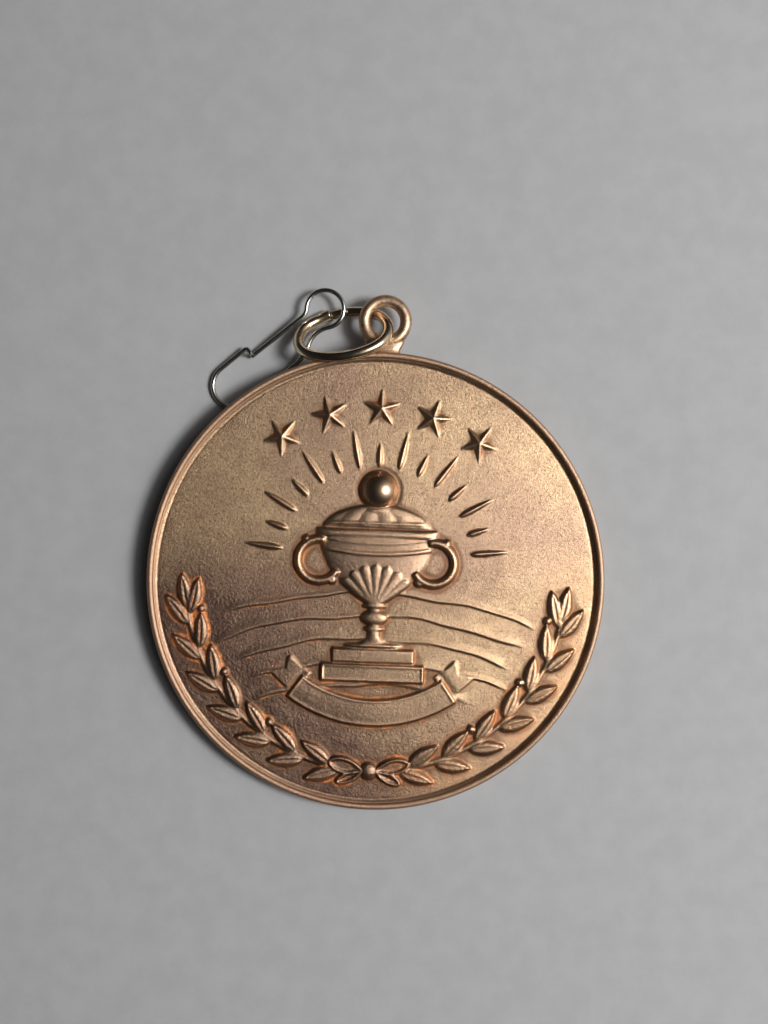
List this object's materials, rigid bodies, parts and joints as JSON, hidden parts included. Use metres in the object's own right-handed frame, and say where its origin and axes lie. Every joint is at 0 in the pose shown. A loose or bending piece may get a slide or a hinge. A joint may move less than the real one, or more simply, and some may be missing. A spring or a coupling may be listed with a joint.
{
  "type": "medal",
  "caption": "Round struck award medal with raised rim and relief, a brazed eye, an oval split ring through it and a spring-wire snap hook.",
  "frame": {"origin": "centre of the disc's flat back face", "axes": "+Z out of the struck face, +Y from the disc's centre towards the eye, +X to the right as the face is read"},
  "size_m": [0.07, 0.0801, 0.0076],
  "materials": {
    "disc_bronze": "sand-textured matte bronze plating, dark patina in the recesses, coppery wear on the high edges",
    "eye_bronze": "satin coppery bronze plating",
    "ring_brass": "polished pale brass wire",
    "hook_steel": "bright drawn spring wire, slightly yellowed"
  },
  "bodies": {
    "medal": {"medal_disc": "disc_bronze", "suspension_eye": "eye_bronze"},
    "ring": {"jump_ring": "ring_brass"},
    "hook": {"hook_wire": "hook_steel"},
    "gate": {"hook_gate": "hook_steel"}
  },
  "joints": [
    {"name": "ring_turn", "type": "hinge", "parent": "medal", "child": "ring", "pos_m": [0, 0.03995, 0.0016], "axis": [0, 0, -1], "range_deg": [0, 150]},
    {"name": "hook_swing", "type": "hinge", "parent": "ring", "child": "hook", "pos_m": [-0.01145, 0.03973, -0.00077], "axis": [0.75, 0.433, -0.5], "range_deg": [0, 110]},
    {"name": "gate_flex", "type": "hinge", "parent": "hook", "child": "gate", "pos_m": [-0.01307, 0.04037, -0.00001], "axis": [-0.0502, -0.0428, 0.9978], "range_deg": [0, 12], "stiffness_Nm_per_rad": 0.02}
  ]
}
